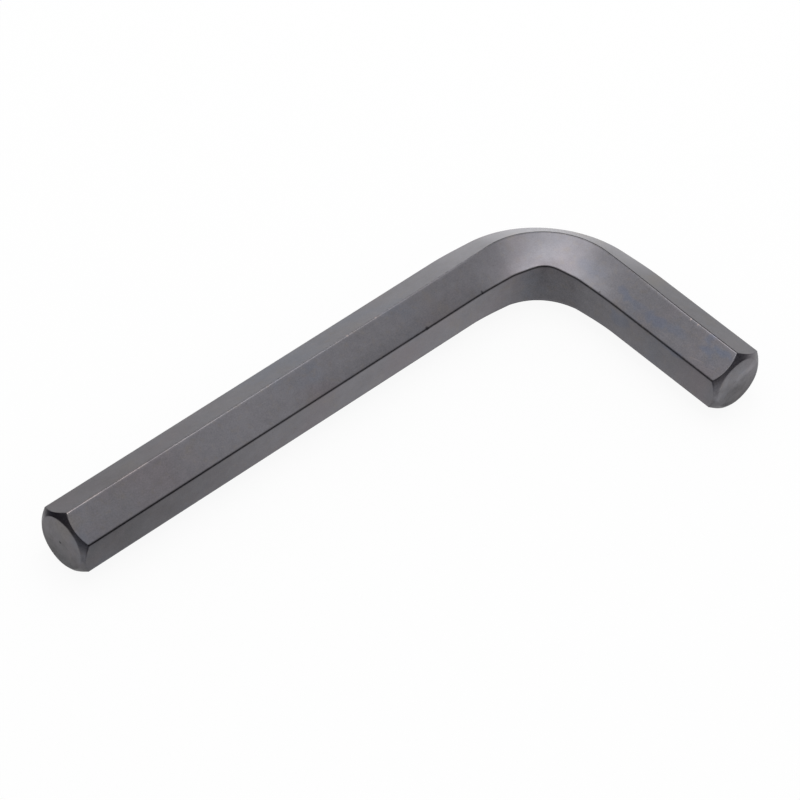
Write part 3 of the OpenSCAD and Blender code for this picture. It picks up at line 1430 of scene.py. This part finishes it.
@dataclass(frozen=True)
class Viewpoint:
    """Where the photograph was taken from, with its angles in degrees."""

    aim: tuple[float, float, float] = (0.00882, 0.01242, 0.00972)
    azimuth: float = -46.52
    elevation: float = 46.805
    distance: float = 1.07476
    roll: float = 4.548
    lens: float = 188.34
    sensor: float = 36.0
    nearest: float = 0.05
    farthest: float = 50.0

    def build(self) -> bpy.types.Object:
        """Makes the camera and gives it to the scene.

        Returns:
            The camera.
        """
        camera = bpy.data.cameras.new("camera")
        camera.lens = self.lens
        camera.sensor_width = self.sensor
        camera.sensor_fit = "HORIZONTAL"
        camera.clip_start = self.nearest
        camera.clip_end = self.farthest
        seat = bpy.data.objects.new("camera", camera)
        bpy.context.scene.collection.objects.link(seat)
        turn = Matrix.Rotation(math.radians(self.azimuth), 4, "Z")
        tilt = Matrix.Rotation(math.radians(90 - self.elevation), 4, "X")
        lean = Matrix.Rotation(math.radians(self.roll), 4, "Z")
        back = Matrix.Translation((0, 0, self.distance))
        seat.matrix_world = Matrix.Translation(self.aim) @ turn @ tilt @ back @ lean
        bpy.context.scene.camera = seat
        return seat


class Show(Enum):
    """How much of the floor's look is plain white, for each kind of ray."""

    CAMERA = 0.92
    GLOSSY = 0.88
    TRANSMISSION = 0.15


@dataclass(frozen=True)
class SoftLamp:
    """A round lamp that faces the key: its direction, its size and its power in watts."""

    name: str
    towards: tuple[float, float, float]
    distance: float
    size: float
    power: float

    def build(self) -> None:
        """Makes the lamp."""
        light = bpy.data.lights.new(self.name, "AREA")
        light.shape = "DISK"
        light.size = self.size
        light.energy = self.power
        lamp = bpy.data.objects.new(self.name, light)
        direction = Vector(self.towards).normalized()
        lamp.location = direction * self.distance
        lamp.rotation_euler = direction.to_track_quat("Z", "Y").to_euler()
        bpy.context.scene.collection.objects.link(lamp)


@dataclass(frozen=True)
class WallCard:
    """A black card that stands round a side of the key, with its angles in degrees.

    It runs from one direction to another, and stands from its foot to its top, which
    are angles above the floor.
    """

    start: float
    end: float
    top: float
    foot: float = 0.0
    radius: float = 0.45
    steps: int = 48

    def points(self) -> list[Vector]:
        """Its corners, two at each step, the lower one first.

        Returns:
            The corners.
        """
        low, high = (self.radius * math.tan(math.radians(rise)) for rise in (self.foot, self.top))
        points = []
        for step in range(self.steps + 1):
            angle = math.radians(self.start + (self.end - self.start) * step / self.steps)
            x, y = self.radius * math.cos(angle), self.radius * math.sin(angle)
            points += [Vector((x, y, low)), Vector((x, y, high))]
        return points

    def faces(self) -> list[tuple[int, ...]]:
        """Its faces, one between each step and the next."""
        return [(2 * k, 2 * k + 2, 2 * k + 3, 2 * k + 1) for k in range(self.steps)]


@dataclass
class Studio:
    """A pale floor, a white room, soft lamps, and black cards that only gloss shows."""

    floor_size: float = 8.0
    floor_drop: float = 0.05 * MM
    paper: Colour = (0.78, 0.78, 0.78)
    room: Colour = (1.0, 1.0, 1.0)
    room_light: float = 0.815
    lamps: tuple[SoftLamp, ...] = (
        SoftLamp("overhead", (0.15, 0.09, 1.0), 0.80, 0.76, 2.05),
        SoftLamp("overhead_core", (0.15, 0.19, 1.0), 0.82, 0.34, 0.66),
        SoftLamp("edge_light", (0.50, 0.47, 0.73), 0.90, 0.16, 0.10),
        SoftLamp("back_light", (0.73, 0.68, 0.09), 0.50, 0.18, 0.52),
    )
    card_black: Colour = (0.055, 0.052, 0.070)
    wall_cards: tuple[WallCard, ...] = (WallCard(88.0, 345.0, 38.0), WallCard(15.0, 50.0, 38.0, 12.0))
    card_far: float = -0.45
    card_near_short: float = 0.0540
    card_near_long: float = 0.0080
    card_inside: tuple[Place, ...] = (
        (0.0540, -0.040), (0.0535, -0.020), (0.0540, -0.004), (0.0560, 0.0040), (0.0545, 0.0070),
        (0.0500, 0.0035), (0.043, -0.008), (0.030, -0.020), (0.012, -0.024), (-0.013, -0.012),
        (-0.040, 0.002), (-0.064, 0.007), (-0.090, 0.009),
    )
    card_behind: tuple[Place, ...] = (
        (-0.108, 0.056), (-0.092, 0.062), (-0.080, 0.30), (-0.45, 0.30), (-0.45, 0.060),
    )

    def build(self) -> None:
        """Makes the floor, the cards, the lamps and the room."""
        self.floor()
        self.cards()
        for lamp in self.lamps:
            lamp.build()
        self.white_room()

    def floor(self) -> None:
        """Makes the floor, a little below the key's lowest edge."""
        half = self.floor_size / 2
        level = CAD_BOX[0][2] - self.floor_drop
        corners = [(-half, -half, level), (half, -half, level), (half, half, level), (-half, half, level)]
        self.place("floor", corners, [(0, 1, 2, 3)], self.floor_white())

    def floor_white(self) -> bpy.types.Material:
        """Makes the floor's white, which keeps a share of the key's shadow.

        Returns:
            The material.
        """
        material = bpy.data.materials.new("floor_white")
        material.use_nodes = True
        material.node_tree.nodes.clear()
        graph = Graph(material.node_tree)
        paper = graph.node("ShaderNodeBsdfDiffuse")
        paper.inputs["Color"].default_value = (*self.paper, 1.0)
        glow = graph.node("ShaderNodeEmission")
        path = graph.node("ShaderNodeLightPath")
        share = graph.clamp(
            graph.out(path, "Is Camera Ray") * Show.CAMERA.value
            + graph.out(path, "Is Glossy Ray") * Show.GLOSSY.value
            + graph.out(path, "Is Transmission Ray") * Show.TRANSMISSION.value
        )
        blend = graph.node("ShaderNodeMixShader")
        graph.plug(blend.inputs[0], share)
        graph.tree.links.new(paper.outputs[0], blend.inputs[1])
        graph.tree.links.new(glow.outputs[0], blend.inputs[2])
        output = graph.node("ShaderNodeOutputMaterial")
        graph.tree.links.new(blend.outputs[0], output.inputs["Surface"])
        return material

    def cards(self) -> None:
        """Makes the cards: round the key, inside its angle and behind its long tip."""
        black = self.card_finish()
        for card in self.wall_cards:
            self.gloss_only(self.place("wall_card", card.points(), card.faces(), black))
        far = self.card_far
        inside = [(far, far), (self.card_near_short, far), *self.card_inside, (far, self.card_near_long)]
        for outline in (inside, self.card_behind):
            points = [(x, y, 0.0) for x, y in outline]
            self.gloss_only(self.place("floor_card", points, [tuple(range(len(points)))], black))

    def card_finish(self) -> bpy.types.Material:
        """Makes the cards' matt black.

        Returns:
            The material.
        """
        material = bpy.data.materials.new("card_black")
        material.use_nodes = True
        shader = material.node_tree.nodes["Principled BSDF"]
        shader.inputs["Base Color"].default_value = (*self.card_black, 1.0)
        shader.inputs["Roughness"].default_value = 1.0
        shader.inputs["Specular IOR Level"].default_value = 0.0
        return material

    def place(
        self, name: str, points: list, faces: list, material: bpy.types.Material
    ) -> bpy.types.Object:
        """Adds a plain mesh that belongs to the studio.

        Args:
            name: what it is called.
            points: its corners.
            faces: its faces, as numbers of corners.
            material: its finish.

        Returns:
            The new object.
        """
        mesh = bpy.data.meshes.new(name)
        mesh.from_pydata(points, [], faces)
        mesh.materials.append(material)
        prop = bpy.data.objects.new(name, mesh)
        bpy.context.scene.collection.objects.link(prop)
        return prop

    def gloss_only(self, card: bpy.types.Object) -> None:
        """Lets a card show in reflections alone.

        Args:
            card: the card.
        """
        card.visible_camera = False
        card.visible_diffuse = False
        card.visible_transmission = False
        card.visible_volume_scatter = False
        card.visible_shadow = False

    def white_room(self) -> None:
        """Makes the white room."""
        world = bpy.data.worlds.new("room")
        world.use_nodes = True
        background = world.node_tree.nodes["Background"]
        background.inputs["Color"].default_value = (*self.room, 1.0)
        background.inputs["Strength"].default_value = self.room_light
        bpy.context.scene.world = world


# The script


def main() -> None:
    """Builds the key, then the studio round it."""
    logging.basicConfig(level=logging.INFO, format="%(name)s: %(message)s")
    bar = BentBar().build(BlackOxide().build())
    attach(bar, "root")
    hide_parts("hex_key")
    log.info("bent bar: %d faces", len(bar.data.polygons))
    Studio().build()
    Viewpoint().build()
    bpy.context.scene.view_settings.view_transform = "Standard"


if __name__ == "__main__":
    main()
